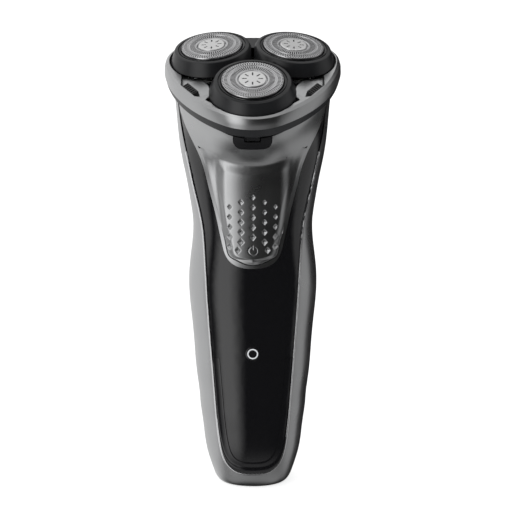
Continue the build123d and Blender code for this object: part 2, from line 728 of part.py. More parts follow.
def gear(teeth, addendum, dedendum, bore, turn):
    body = extrude(gear_face(teeth, addendum, dedendum, 0.06), GEAR_TOP - GEAR_BOTTOM)
    body = Pos(0, 0, GEAR_BOTTOM) * Rot(0, 0, turn) * body
    return body - disc(bore, GEAR_BOTTOM - 1, GEAR_TOP + 1)


def gear_turn(direction):
    """Turn that puts a drive gear's gap over the pinion's tooth at rest."""
    pinion_pitch = 360 / PINION_TEETH
    offset = -direction % pinion_pitch
    along = offset * PINION_TEETH + 180
    return direction + 180 - along / GEAR_TEETH


def gear_spot(direction):
    angle = math.radians(direction)
    return GEAR_DISTANCE * math.cos(angle), GEAR_DISTANCE * math.sin(angle)


def drive_spindle():
    shaft = disc(1.2, CHASSIS_BOTTOM + 0.3, GEAR_BOTTOM) + disc(SPINDLE_RADIUS, GEAR_BOTTOM, -10.4)
    face = RegularPolygon(1.25, 6, major_radius=False)
    tip = extrude(face, SPINDLE_TIP + 10.4, taper=4)
    return shaft + Pos(0, 0, -10.4) * tip


for name, direction in CUTTERS.items():
    x, t = gear_spot(direction)
    wheel = gear(GEAR_TEETH, 0.38, 0.6, SPINDLE_RADIUS, gear_turn(direction))
    parts[f"drive_gear_{name}"] = HEAD * Pos(x, t, 0) * wheel
    parts[f"drive_spindle_{name}"] = HEAD * Pos(x, t, 0) * drive_spindle()

parts["motor_pinion"] = HEAD * gear(PINION_TEETH, 0.45, 0.58, SHAFT_RADIUS, 0)
parts["motor_shaft"] = HEAD * disc(SHAFT_RADIUS, MOTOR_BOTTOM + 0.6, GEAR_TOP)


# ---------------------------------------------------------------- deck, seal and chassis
def screw_spots():
    return [(SCREW_RADIUS_IN_HEAD * math.cos(math.radians(a)),
             SCREW_RADIUS_IN_HEAD * math.sin(math.radians(a))) for a in (90, 210, 330)]


INNER_FORM = inner_form(WALL + 0.12)
SEAL_FORM = inner_form(WALL + 1.3)
LATCH_SPACE = block((-7.6, 7.6), (-60, -24.1), (120, 142))


def form_slab(form, bottom, top):
    """The slice of a form between two heights of the head frame."""
    return form & (HEAD * block((-60, 60), (-60, 60), (bottom, top)))


def gear_cover():
    deck = form_slab(INNER_FORM, BODY_DECK_BOTTOM, BODY_DECK_TOP) - LATCH_SPACE
    for direction in CUTTERS.values():
        deck += HEAD * disc(4.0, BODY_DECK_BOTTOM, -13.8, *gear_spot(direction))
    for direction in CUTTERS.values():
        deck -= HEAD * disc(SPINDLE_RADIUS + RUNNING, -20, 0, *gear_spot(direction))
    for x, t in screw_spots():
        deck -= HEAD * disc(1.1, -20, 0, x, t)
    return biggest(deck)


def deck_seal():
    ring = form_slab(INNER_FORM - SEAL_FORM, BODY_DECK_TOP, BODY_DECK_TOP + 0.7)
    return biggest(ring - LATCH_SPACE)


def deck_screws():
    screws = []
    for x, t in screw_spots():
        head = disc(1.8, BODY_DECK_TOP, BODY_DECK_TOP + 1.0, x, t)
        head -= Pos(x, t, BODY_DECK_TOP + 1.0) * Box(2.4, 0.5, 1.0)
        head -= Pos(x, t, BODY_DECK_TOP + 1.0) * Box(0.5, 2.4, 1.0)
        screws.append(HEAD * (head + disc(0.95, CHASSIS_BOTTOM, BODY_DECK_TOP, x, t)))
    return Compound(screws)


def chassis():
    plate = form_slab(INNER_FORM, CHASSIS_BOTTOM, CHASSIS_TOP) - LATCH_SPACE
    for x, t in screw_spots():
        plate += HEAD * disc(2.3, CHASSIS_BOTTOM, BODY_DECK_BOTTOM, x, t)
    rails = [block((a, b), (-3, 6), (30, 150)) for a, b in ((10.8, 12.4), (-12.4, -10.8))]
    shelves = [block((-12.4, 12.4), (-11.3, 6), (z, z + 1.6))
               for z in (BATTERY_BOTTOM - 3.0, BATTERY_TOP + 2.4)]
    under = HEAD * block((-60, 60), (-60, 60), (-200, CHASSIS_BOTTOM + 0.1))
    frame = [(rail & under) for rail in rails] + shelves
    plate = plate + frame
    plate -= HEAD * disc(1.4, -30, 0)
    for direction in CUTTERS.values():
        plate -= HEAD * disc(1.2 + RUNNING, -30, 0, *gear_spot(direction))
    for x, t in screw_spots():
        plate -= HEAD * disc(0.95, -30, 0, x, t)
    return biggest(plate)


parts["gear_cover"] = gear_cover()
parts["deck_seal"] = deck_seal()
parts["deck_screws"] = deck_screws()
parts["chassis"] = chassis()


# ---------------------------------------------------------------- motor
def motor_can():
    can = tube(MOTOR_RADIUS, MOTOR_RADIUS - 0.8, MOTOR_BOTTOM, MOTOR_TOP - 1.0)
    return can + tube(MOTOR_RADIUS, SHAFT_RADIUS + RUNNING, MOTOR_TOP - 1.0, MOTOR_TOP)


def motor_end_bell():
    bell = disc(MOTOR_RADIUS - 0.85, MOTOR_BOTTOM, MOTOR_BOTTOM + 1.4)
    return bell - disc(SHAFT_RADIUS + RUNNING, MOTOR_BOTTOM + 0.5, MOTOR_BOTTOM + 3)


def motor_magnets():
    ring = tube(MOTOR_RADIUS - 0.85, 8.1, MOTOR_BOTTOM + 3, MOTOR_TOP - 2.5)
    return ring - block((-20, 20), (-2.5, 2.5), (-60, 0))


def rotor_core():
    core = disc(7.6, MOTOR_BOTTOM + 3.5, MOTOR_TOP - 3.0)
    slot = block((3.0, 9.0), (-0.7, 0.7), (-60, 0))
    core -= [Rot(0, 0, a) * slot for a in (0, 72, 144, 216, 288)]
    return core - disc(SHAFT_RADIUS, -60, 0)


parts["motor_can"] = HEAD * motor_can()
parts["motor_end_bell"] = HEAD * motor_end_bell()
parts["motor_magnets"] = HEAD * motor_magnets()
parts["rotor_core"] = HEAD * rotor_core()


# ---------------------------------------------------------------- battery and electronics
def battery():
    cell = disc(BATTERY_RADIUS, BATTERY_BOTTOM, BATTERY_TOP, 0, BATTERY_Y)
    return cell + disc(2.6, BATTERY_TOP, BATTERY_TOP + 1.2, 0, BATTERY_Y)


def battery_contact(low, high):
    strip = block((-3, 3), (BATTERY_Y - 3, BATTERY_Y + 2.5), (low, high))
    return strip + block((-3, 3), (-10.0, BATTERY_Y - 2), (low, low + 0.4))


def circuit_board():
    board = block((-BOARD_HALF_WIDTH, BOARD_HALF_WIDTH), (BOARD_Y, BOARD_Y + BOARD_THICKNESS),
                  (20, 100))
    chips = [block((-4, 4), (BOARD_Y - 1.2, BOARD_Y), (70, 76)),
             block((2, 6), (BOARD_Y - 1.0, BOARD_Y), (36, 42))]
    return board + chips


def key_switch():
    case = block((-3, 3), (BOARD_Y - 2.0, BOARD_Y), (SWITCH_Z - 3, SWITCH_Z + 3))
    return case + forward_cylinder(1.6, SWITCH_Z, BOARD_Y - 1.5, SWITCH_FRONT)


def charging_port():
    shell = extrude(SlotOverall(8.94, 3.26), 7.0) - extrude(SlotOverall(8.34, 2.66), 6.2)
    return Pos(0, PORT_Y, 0.35) * shell


parts["battery"] = battery()
parts["battery_contact_upper"] = battery_contact(BATTERY_TOP + 1.2, BATTERY_TOP + 2.4)
parts["battery_contact_lower"] = battery_contact(BATTERY_BOTTOM - 1.4, BATTERY_BOTTOM)
parts["circuit_board"] = circuit_board()
parts["key_switch"] = key_switch()
parts["indicator_lamp"] = block((-0.9, 0.9), (BOARD_Y - 1.1, BOARD_Y),
                                (LIGHT_Z - 0.9, LIGHT_Z + 0.9))
parts["charging_port"] = charging_port()
parts["port_tongue"] = block((-3.35, 3.35), (PORT_Y - 0.35, PORT_Y + 0.35), (1.2, 6.55))


os.makedirs("parts", exist_ok=True)
for name, solid in parts.items():
    export_step(solid, f"parts/{name}.step")
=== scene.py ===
"""Looks of a three-cutter rotary shaver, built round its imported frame."""

import json
import math

import bmesh
import bpy
import numpy as np
from mathutils import Matrix, Vector
from mathutils.bvhtree import BVHTree


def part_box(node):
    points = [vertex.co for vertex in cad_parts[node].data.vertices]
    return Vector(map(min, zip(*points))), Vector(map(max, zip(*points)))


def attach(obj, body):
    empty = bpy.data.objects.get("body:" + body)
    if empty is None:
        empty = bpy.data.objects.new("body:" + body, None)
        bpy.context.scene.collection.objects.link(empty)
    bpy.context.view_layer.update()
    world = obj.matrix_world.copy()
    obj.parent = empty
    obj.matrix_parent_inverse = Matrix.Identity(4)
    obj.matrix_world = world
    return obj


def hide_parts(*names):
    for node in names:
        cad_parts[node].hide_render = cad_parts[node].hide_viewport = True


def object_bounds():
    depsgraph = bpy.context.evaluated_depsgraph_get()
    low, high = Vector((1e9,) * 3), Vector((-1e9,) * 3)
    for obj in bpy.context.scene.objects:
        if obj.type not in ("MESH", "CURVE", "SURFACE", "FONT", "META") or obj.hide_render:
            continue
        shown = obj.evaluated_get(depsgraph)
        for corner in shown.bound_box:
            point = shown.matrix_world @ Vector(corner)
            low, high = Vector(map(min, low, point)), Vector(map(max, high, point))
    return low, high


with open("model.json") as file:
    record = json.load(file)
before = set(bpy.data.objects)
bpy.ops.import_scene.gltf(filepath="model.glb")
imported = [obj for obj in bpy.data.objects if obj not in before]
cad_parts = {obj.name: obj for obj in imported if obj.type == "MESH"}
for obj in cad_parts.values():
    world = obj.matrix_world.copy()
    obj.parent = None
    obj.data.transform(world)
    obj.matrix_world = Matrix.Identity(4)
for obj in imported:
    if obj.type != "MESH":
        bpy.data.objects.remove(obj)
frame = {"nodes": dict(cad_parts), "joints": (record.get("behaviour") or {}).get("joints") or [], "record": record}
cad_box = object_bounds()
nodes = frame["nodes"]
joints = {joint["name"]: joint for joint in frame["joints"]}

MM = 0.001
CUTTERS = ("front", "left", "right")

# ---------------------------------------------------------------- camera and studio
CAMERA_DISTANCE = 0.700
CAMERA_ELEVATION = math.radians(13.0)
CAMERA_LENS = 132.4
CAMERA_SENSOR = 36  # millimetres, as the lens is
CAMERA_NEAR = 10 * MM
AIM_ABOVE_MIDDLE = 2.5 * MM
AIM_RIGHT = 1.2 * MM


def make_camera():
    low, high = cad_box
    aim = Vector((AIM_RIGHT, 0, (low.z + high.z) / 2 + AIM_ABOVE_MIDDLE))
    towards = Vector((0, -math.cos(CAMERA_ELEVATION), math.sin(CAMERA_ELEVATION)))
    camera = bpy.data.objects.new("camera", bpy.data.cameras.new("camera"))
    camera.data.lens = CAMERA_LENS
    camera.data.sensor_width = CAMERA_SENSOR
    camera.data.clip_start = CAMERA_NEAR
    camera.location = aim + towards * CAMERA_DISTANCE
    camera.rotation_euler = towards.to_track_quat("Z", "Y").to_euler()
    bpy.context.scene.collection.objects.link(camera)
    bpy.context.scene.camera = camera


# Softboxes as seen from the shaver: azimuth and elevation ranges in degrees, 0 is the front
# and +90 is +X, then how soft the sides and the ends are, and how bright the box is.
SOFTBOXES = [
    (-62, -22, -42, 58, 13, 16, 1.66),
    (-178, -80, -46, 60, 8, 14, 0.95),
    (76, 122, -46, 60, 7, 12, 0.50),
    (-180, 180, 38, 80, 11, 11, 0.95),
    (-110, 110, -72, -44, 14, 12, 0.42),
]
AMBIENT = 0.025
BACKDROP = 1.0
FLOOR_REACH = 3.0
FLOOR_GREY = 0.8
FLOOR_GLOW = 0.72


class Graph:
    """A short way to add and join shader nodes."""

    def __init__(self, tree):
        self.tree = tree

    def add(self, kind, settings=None, inputs=None):
        node = self.tree.nodes.new(kind)
        for name, value in (settings or {}).items():
            setattr(node, name, value)
        for name, value in (inputs or {}).items():
            self.put(node, name, value)
        return node

    def put(self, node, name, value):
        socket = node.inputs[name]
        if isinstance(value, bpy.types.NodeSocket):
            self.tree.links.new(value, socket)
        else:
            socket.default_value = value

    def math(self, operation, *values):
        inputs = dict(enumerate(values))
        return self.add("ShaderNodeMath", {"operation": operation}, inputs).outputs[0]

    def ramp(self, value, low, high, start=0.0, end=1.0):
        """Smooth step of a value from start to end between low and high."""
        inputs = {"Value": value, "From Min": low, "From Max": high, "To Min": start,
                  "To Max": end}
        settings = {"interpolation_type": "SMOOTHSTEP"}
        return self.add("ShaderNodeMapRange", settings, inputs).outputs["Result"]


def window(graph, angle, low, high, soft):
    """1 inside a range of angles and 0 outside, with soft edges."""
    rise = graph.ramp(angle, math.radians(low - soft), math.radians(low + soft))
    fall = graph.ramp(angle, math.radians(high - soft), math.radians(high + soft), 1.0, 0.0)
    return graph.math("MULTIPLY", rise, fall)


def make_studio():
    """White for the camera, softboxes for everything else."""
    world = bpy.data.worlds.new("studio")
    world.use_nodes = True
    bpy.context.scene.world = world
    graph = Graph(world.node_tree)
    world.node_tree.nodes.clear()
    direction = graph.add("ShaderNodeTexCoord").outputs["Generated"]
    axes = graph.add("ShaderNodeSeparateXYZ", inputs={"Vector": direction}).outputs
    forward = graph.math("MULTIPLY", axes["Y"], -1.0)
    azimuth = graph.math("ARCTAN2", axes["X"], forward)
    elevation = graph.math("ARCSINE", axes["Z"])
    light = None
    for az_low, az_high, el_low, el_high, az_soft, el_soft, strength in SOFTBOXES:
        high = window(graph, elevation, el_low, el_high, el_soft)
        box = graph.math("MULTIPLY", high, strength)
        if az_high - az_low < 360:
            wide = window(graph, azimuth, az_low, az_high, az_soft)
            box = graph.math("MULTIPLY", box, wide)
        light = box if light is None else graph.math("MAXIMUM", light, box)
    light = graph.math("ADD", light, AMBIENT)
    seen = graph.add("ShaderNodeLightPath").outputs["Is Camera Ray"]
    studio = graph.add("ShaderNodeBackground", inputs={"Strength": light})
    white = graph.add("ShaderNodeBackground", inputs={"Strength": BACKDROP})
    mix = graph.add("ShaderNodeMixShader", inputs={0: seen, 1: studio.outputs[0],
                                                   2: white.outputs[0]})
    graph.add("ShaderNodeOutputWorld", inputs={"Surface": mix.outputs[0]})
    bpy.context.scene.view_settings.view_transform = "Standard"


def make_floor():
    """Pale floor that shows a soft shadow and stays out of the reflections."""
    mesh = bpy.data.meshes.new("floor")
    corners = [(x * FLOOR_REACH, y * FLOOR_REACH, 0) for x, y in ((-1, -1), (1, -1), (1, 1), (-1, 1))]
    mesh.from_pydata(corners, [], [(0, 1, 2, 3)])
    floor = bpy.data.objects.new("floor", mesh)
    bpy.context.scene.collection.objects.link(floor)
    floor.visible_glossy = False
    material = bpy.data.materials.new("pale_floor")
    material.use_nodes = True
    graph = Graph(material.node_tree)
    shader = material.node_tree.nodes["Principled BSDF"]
    graph.put(shader, "Base Color", (FLOOR_GREY, FLOOR_GREY, FLOOR_GREY, 1))
    graph.put(shader, "Roughness", 0.9)
    graph.put(shader, "Emission Color", (1, 1, 1, 1))
    graph.put(shader, "Emission Strength", FLOOR_GLOW)
    mesh.materials.append(material)


# ---------------------------------------------------------------- materials
RIB_SCALE = 150.0  # gives fine level ribs about 2 mm apart
RIBS_START = (28 * MM, 40 * MM)  # heights between which the ribs fade in
RIBS_END = (112 * MM, 128 * MM)  # and out
CLOUD_SCALE = 90.0
BUMP_STRENGTH = 0.35
LEAST_ROUGHNESS = 0.02


def surface(name, colour, metallic=0.0, roughness=0.4, coat=0.0, coat_roughness=0.1,
            specular=0.5, grain=3000.0, grain_depth=0.0, tint=0.06, wear=0.05, ribs=0.0):
    """A moulded, painted or turned surface: cloudy tint, uneven gloss and fine grain."""
    material = bpy.data.materials.new(name)
    material.use_nodes = True
    graph = Graph(material.node_tree)
    shader = material.node_tree.nodes["Principled BSDF"]
    where = graph.add("ShaderNodeTexCoord").outputs["Object"]
    cloud = graph.add("ShaderNodeTexNoise", inputs={"Vector": where, "Scale": CLOUD_SCALE,
                                                    "Detail": 4.0, "Roughness": 0.6})
    fine = graph.add("ShaderNodeTexNoise", inputs={"Vector": where, "Scale": grain,
                                                   "Detail": 3.0, "Roughness": 0.7})
    dark = tuple(c * (1 - tint) for c in colour) + (1.0,)
    light = tuple(min(1.0, c * (1 + tint)) for c in colour) + (1.0,)
    mixed = graph.add("ShaderNodeMix", {"data_type": "RGBA"})
    graph.put(mixed, "Factor", fine.outputs["Fac"])
    graph.put(mixed, 6, dark)
    graph.put(mixed, 7, light)
    graph.put(shader, "Base Color", mixed.outputs[2])
    gloss = graph.ramp(cloud.outputs["Fac"], 0.3, 0.7,
                       max(LEAST_ROUGHNESS, roughness - wear), roughness + wear)
    graph.put(shader, "Roughness", gloss)
    graph.put(shader, "Metallic", metallic)
    graph.put(shader, "Coat Weight", coat)
    graph.put(shader, "Coat Roughness", coat_roughness)
    graph.put(shader, "Specular IOR Level", specular)
    height = fine.outputs["Fac"]
    if ribs:
        bands = graph.add("ShaderNodeTexWave", {"bands_direction": "Z"},
                          {"Vector": where, "Scale": RIB_SCALE})
        level = graph.add("ShaderNodeSeparateXYZ", inputs={"Vector": where}).outputs["Z"]
        shown = graph.math("MULTIPLY", graph.ramp(level, *RIBS_START),
                           graph.ramp(level, *RIBS_END, 1.0, 0.0))
        raised = graph.math("MULTIPLY", bands.outputs["Fac"], graph.math("MULTIPLY", shown, ribs))
        height = graph.math("ADD", height, raised)
    if grain_depth:
        bump = graph.add("ShaderNodeBump", inputs={"Height": height, "Distance": grain_depth,
                                                   "Strength": BUMP_STRENGTH})
        graph.put(shader, "Normal", bump.outputs["Normal"])
    return material


MATERIALS = {
    "silver_casing": surface("silver_casing", (0.50, 0.505, 0.51), metallic=1.0,
                             roughness=0.30, coat=0.25, coat_roughness=0.12, grain=9000,
                             grain_depth=0.00001, tint=0.10, wear=0.03),
    "black_gloss": surface("black_gloss", (0.006, 0.006, 0.007), roughness=0.10, coat=0.4,
                           coat_roughness=0.03, grain=2500, tint=0.2, wear=0.02),
    "black_grip": surface("black_grip", (0.018, 0.018, 0.020), roughness=0.62, grain=5000,
                          grain_depth=0.00005, tint=0.2, wear=0.06, ribs=7.0),
    "black_satin": surface("black_satin", (0.012, 0.0125, 0.014), roughness=0.34,
                           grain=6000, grain_depth=0.00002, tint=0.2, wear=0.05),
    "dark_vent": surface("dark_vent", (0.02, 0.02, 0.021), roughness=0.5, grain=5000,
                         grain_depth=0.00003, tint=0.2),
    "cutter_steel": surface("cutter_steel", (0.62, 0.62, 0.63), metallic=1.0,
                            roughness=0.26, grain=7000, grain_depth=0.00001, tint=0.1),
    "badge_metal": surface("badge_metal", (0.80, 0.80, 0.80), metallic=1.0,
                           roughness=0.30, grain=7000, grain_depth=0.00001, tint=0.06),
    "white_plastic": surface("white_plastic", (0.72, 0.72, 0.70), roughness=0.45,
                             grain=2500, grain_depth=0.00001),
    "steel": surface("steel", (0.55, 0.55, 0.56), metallic=1.0, roughness=0.3,
                     grain=5000, grain_depth=0.00001, tint=0.1),
    "motor_steel": surface("motor_steel", (0.50, 0.51, 0.52), metallic=1.0, roughness=0.36,
                           grain=4000, grain_depth=0.00001, tint=0.1),
    "magnet": surface("magnet", (0.07, 0.07, 0.075), roughness=0.7, grain=3000,
                      grain_depth=0.00004, tint=0.25),
    "cell_wrap": surface("cell_wrap", (0.03, 0.18, 0.11), roughness=0.25, coat=0.5,
                         grain=2000, tint=0.1),
    "contact_brass": surface("contact_brass", (0.72, 0.53, 0.22), metallic=1.0,
                             roughness=0.3, grain=4000, tint=0.1),
    "board_green": surface("board_green", (0.015, 0.12, 0.045), roughness=0.35, coat=0.4,
                           grain=3000, tint=0.2),
    "light_lens": surface("light_lens", (0.62, 0.64, 0.66), roughness=0.3, coat=0.4,
                          grain=3000, tint=0.05),
    "seal_rubber": surface("seal_rubber", (0.025, 0.025, 0.025), roughness=0.7,
                           grain=3000, grain_depth=0.00003, tint=0.2),
    # painted shade: a matte black darkened below the other blacks for the shade under the head's band, on the
    # release tab
    "tab_black_painted_shade": surface("tab_black_painted_shade", (0.005, 0.005, 0.006), roughness=0.45,
                         specular=0.25, grain=6000, grain_depth=0.00001, tint=0.2),
    # painted highlight: a lighter, glossier copy of the casing's silver for the fine edge along the glossy front
    "trim_highlight_metal": surface("trim_highlight_metal", (0.82, 0.82, 0.83), metallic=1.0,
                          roughness=0.22, grain=7000, tint=0.05),
    "smoked_lens": surface("smoked_lens", (0.008, 0.008, 0.009), roughness=0.08,
                           coat=0.6, coat_roughness=0.03, grain=2500, tint=0.2, wear=0.02),
    "lamp_white": surface("lamp_white", (0.85, 0.87, 0.9), roughness=0.35, tint=0.03),
    # painted shade: dark steel for slot walls, the cap sheets' undersides and the badges' tick dents
    "painted_recess_shade": surface("painted_recess_shade", (0.05, 0.05, 0.052), metallic=0.6, roughness=0.5,
                      grain=6000, tint=0.15),
}
OWN_LOOKS = {"release_button": "tab_black_painted_shade"}  # nodes darker than their slot: the release tab, a matte black darkened further as painted shade from under the head's band
SMOOTH_ANGLE = math.radians(28)
JOIN_DISTANCE = 0.0005 * MM


def joined_shading():
    """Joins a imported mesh's split edges and shades it smooth up to the sharp angle."""
    tree = bpy.data.node_groups.new("joined_shading", "GeometryNodeTree")
    for way in ("INPUT", "OUTPUT"):
        tree.interface.new_socket("Geometry", in_out=way, socket_type="NodeSocketGeometry")
    graph = Graph(tree)
    source = graph.add("NodeGroupInput").outputs[0]
    merged = graph.add("GeometryNodeMergeByDistance", inputs={"Geometry": source,
                                                              "Distance": JOIN_DISTANCE})
    angle = graph.add("GeometryNodeInputMeshEdgeAngle").outputs[0]
    gentle = graph.math("LESS_THAN", angle, SMOOTH_ANGLE)
    shaded = graph.add("GeometryNodeSetShadeSmooth", {"domain": "EDGE"},
                       {"Geometry": merged.outputs[0], "Shade Smooth": gentle})
    graph.add("NodeGroupOutput", inputs={0: shaded.outputs[0]})
    return tree


def finish_cad_nodes():
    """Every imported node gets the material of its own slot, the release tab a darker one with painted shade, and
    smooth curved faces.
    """
    shading = joined_shading()
    for part in frame["record"]["subparts"]:
        node = nodes[part["node"]]
        mesh = node.data
        mesh.materials.clear()
        mesh.materials.append(MATERIALS[OWN_LOOKS.get(part["node"], part["material_slot"])])
        mesh.shade_smooth()
        if "custom_normal" in mesh.attributes:
            mesh.attributes.remove(mesh.attributes["custom_normal"])
        node.modifiers.new("joined_shading", "NODES").node_group = shading


# ---------------------------------------------------------------- meshes of our own
def add_piece(name, mesh, body, slot, materials, *replaced):
    """Links a mesh drawn in the row frame, gives it its looks and ties it to its body."""
    for material in materials:
        mesh.materials.append(MATERIALS[material])
    mesh.shade_smooth()
    piece = bpy.data.objects.new(name, mesh)
    bpy.context.scene.collection.objects.link(piece)
    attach(piece, body)
    if replaced:
        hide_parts(*replaced)
    return piece


def turn_towards(mesh, direction):
    """Turns every face over where the mesh as a whole looks away from the direction."""
    work = bmesh.new()
    work.from_mesh(mesh)
    total = sum((face.normal * face.calc_area() for face in work.faces), Vector())
    if total.dot(direction) < 0:
        bmesh.ops.reverse_faces(work, faces=work.faces)
    work.to_mesh(mesh)
    work.free()


def cutter_place(name):
    """The cutter's own frame: origin on the cap plane, z along its axis, x level."""
    joint = joints[f"blade_spin_{name}"]
    up = Vector(joint["axis"]).normalized()
    across = Vector((1, 0, 0))
    across = (across - up * across.dot(up)).normalized()
    place = Matrix.Identity(4)
    for column, axis in enumerate((across, up.cross(across), up)):
        for row in range(3):
            place[row][column] = axis[row]
    place.translation = Vector(joint["pos_m"])
    return place


def boundary(low, high, past, steps=14):
    """Halves the way between two values to where a test turns true, from both sides."""
    for _ in range(steps):
        middle = (low + high) / 2
        if past(middle):
            high = middle
        else:
            low = middle
    return low, high


def front_mesh(name, verts, faces):
    """A mesh whose seen side is the front."""
    mesh = bpy.data.meshes.new(name)
    mesh.from_pydata(verts, [], faces)
    turn_towards(mesh, Vector((0, -1, 0)))
    return mesh


def grid_faces(rows, columns):
    """Quads between neighbours in rows of points."""
    return [(i * columns + j, (i + 1) * columns + j, (i + 1) * columns + j + 1,
             i * columns + j + 1) for i in range(rows - 1) for j in range(columns - 1)]


def ring_face(i, k, turns):
    """The quad that starts at one point of a ring and reaches the next ring."""
    after = (k + 1) % turns
    return (i * turns + k, (i + 1) * turns + k, (i + 1) * turns + after, i * turns + after)


def polar_mesh(name, place, profile, turns, hole=None, dent=None):
    """Rings of radius and height, in millimetres in a cutter's frame, joined with quads.

    A hole leaves out the quad at a radius and step. A dent gives a depth at a radius and
    angle, and a face that lies in one takes the second material.
    """
    verts = []
    for radius, height in profile:
        for k in range(turns):
            angle = 2 * math.pi * k / turns
            depth = dent(radius, angle) if dent else 0
            x, y = radius * math.cos(angle), radius * math.sin(angle)
            verts.append(place @ (Vector((x, y, height - depth)) * MM))
    faces = []
    paints = []
    for i in range(len(profile) - 1):
        radius = (profile[i][0] + profile[i + 1][0]) / 2
        for k in range(turns):
            if hole and hole(radius, k):
                continue
            faces.append(ring_face(i, k, turns))
            middle = 2 * math.pi * (k + 0.5) / turns
            paints.append(1 if dent and dent(radius, middle) else 0)
    mesh = bpy.data.meshes.new(name)
    mesh.from_pydata(verts, [], faces)
    for face, index in zip(mesh.polygons, paints):
        face.material_index = index
    return mesh


# ---------------------------------------------------------------- caps and badges
CAP_TURNS = 360
INNER_PITCH = CAP_TURNS // 60  # steps from one slot of the inner track to the next
OUTER_PITCH = CAP_TURNS // 72
INNER_TRACK = (6.0, 8.0)  # radii in millimetres
OUTER_TRACK = (8.9, 10.2)
EDGE_TEETH = (10.4, 11.0)
CAP_PROFILE = [  # radius and height in millimetres, from the middle to the flange
    (4.0, -0.75), (5.05, -0.75), (5.15, -0.72), (5.3, -0.25), (5.42, -0.08), (5.6, 0.0),
    (5.85, 0.02), (6.05, 0.02), (7.95, 0.02), (8.15, 0.0), (8.27, -0.06), (8.36, -0.24),
    (8.56, -0.24), (8.65, -0.06), (8.78, 0.0), (8.95, 0.01), (10.15, 0.0), (10.4, -0.01),
    (10.72, -0.03), (10.95, -0.12), (11.06, -0.3), (11.1, -0.55), (11.1, -1.2), (11.1, -2.45),
    (11.25, -2.5), (12.0, -2.5), (12.0, -2.9)]
CAP_THICKNESS = 0.35 * MM


def cap_hole(radius, k):
    """The slots: a comb in the inner track, fine slots and edge teeth in the outer one."""
    if INNER_TRACK[0] < radius < INNER_TRACK[1]:
        return k % INNER_PITCH < 3
    if OUTER_TRACK[0] < radius < OUTER_TRACK[1]:
        return k % OUTER_PITCH < 2
    return EDGE_TEETH[0] < radius < EDGE_TEETH[1] and k % OUTER_PITCH in (2, 3)


def add_cutter_piece(piece_name, mesh, place, name, slot, replaced):
    """Adds a piece that sits on a cap, with painted shade in its dents, slot walls and underside as its second
    material.
    """
    turn_towards(mesh, place.to_3x3() @ Vector((0, 0, 1)))
    return add_piece(piece_name, mesh, f"cap_{name}", slot, [slot, "painted_recess_shade"], replaced)


def make_cap(name):
    """Thin slotted steel cap, with a rim that fits in its ring."""
    place = cutter_place(name)
    mesh = polar_mesh(f"slotted_cap_{name}", place, CAP_PROFILE, CAP_TURNS, hole=cap_hole)
    cap = add_cutter_piece(f"slotted_cap_{name}", mesh, place, name, "cutter_steel",
                           f"guard_cap_{name}")
    wall = cap.modifiers.new("sheet", "SOLIDIFY")
    wall.thickness = CAP_THICKNESS
    wall.offset = -1
    # painted shade: the sheet's underside and slot walls take the dark second material
    wall.material_offset = 1
    wall.material_offset_rim = 1
    mesh.set_sharp_from_angle(angle=SMOOTH_ANGLE)


BADGE_TURNS = 256
BADGE_RADIUS = 4.9  # lengths of the badge in millimetres
BADGE_CROWN = 0.26
BADGE_ROUND = 0.35
BADGE_SKIRT = 0.75
TICKS = 8
TICK_REACH = (2.1, 3.75)
TICK_HALF = 0.22
TICK_DEPTH = 0.18


def crown(radius):
    edge = min(1.0, (BADGE_RADIUS - radius) / BADGE_ROUND)
    return BADGE_CROWN * math.sin(edge * math.pi / 2)


def tick_depth(radius, angle):
    """Depth of the plain radial ticks sunk into a badge."""
    step = 2 * math.pi / TICKS
    aside = abs((angle + step / 2) % step - step / 2) * radius
    return TICK_DEPTH if TICK_REACH[0] < radius < TICK_REACH[1] and aside < TICK_HALF else 0.0


def make_badge(name):
    """Crowned disc at a cap's middle."""
    place = cutter_place(name)
    radii = [0.05 + 0.1 * i for i in range(46)] + [4.68, 4.8]
    profile = [(radius, crown(radius)) for radius in radii]
    profile += [(BADGE_RADIUS - 0.015, 0.0), (BADGE_RADIUS, -BADGE_SKIRT)]
    mesh = polar_mesh(f"badge_{name}", place, profile, BADGE_TURNS, dent=tick_depth)
    work = bmesh.new()
    work.from_mesh(mesh)
    bmesh.ops.contextual_create(work, geom=list(work.verts)[:BADGE_TURNS])
    work.to_mesh(mesh)
    work.free()
    add_cutter_piece(f"badge_{name}", mesh, place, name, "badge_metal", f"cap_badge_{name}")
    mesh.set_sharp_from_angle(angle=SMOOTH_ANGLE)


# ---------------------------------------------------------------- front surfaces
RAY_START = -80 * MM
RAY_LENGTH = 80 * MM
WIDEST = 30 * MM  # further from the middle line than any front surface reaches


class FrontView:
    """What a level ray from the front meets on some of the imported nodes."""

    def __init__(self, *names):
        self.trees = []
        for name in names:
            mesh = nodes[name].data
            verts = [vertex.co for vertex in mesh.vertices]
            faces = [polygon.vertices[:] for polygon in mesh.polygons]
            self.trees.append(BVHTree.FromPolygons(verts, faces))

    def depth(self, x, z):
        """Y of the nearest surface, or None where the ray misses."""
        start = Vector((x, RAY_START, z))
        hits = [tree.ray_cast(start, Vector((0, 1, 0)), RAY_LENGTH)[0] for tree in self.trees]
        found = [hit.y for hit in hits if hit is not None]
        return min(found) if found else None

    def misses(self, x, z):
        return self.depth(x, z) is None

    def half_width(self, z, start=0.0):
        """How far the surface reaches from the middle line at one height."""
        if self.misses(start, z):
            return 0.0
        return boundary(start, WIDEST, lambda x: self.misses(x, z))[0]


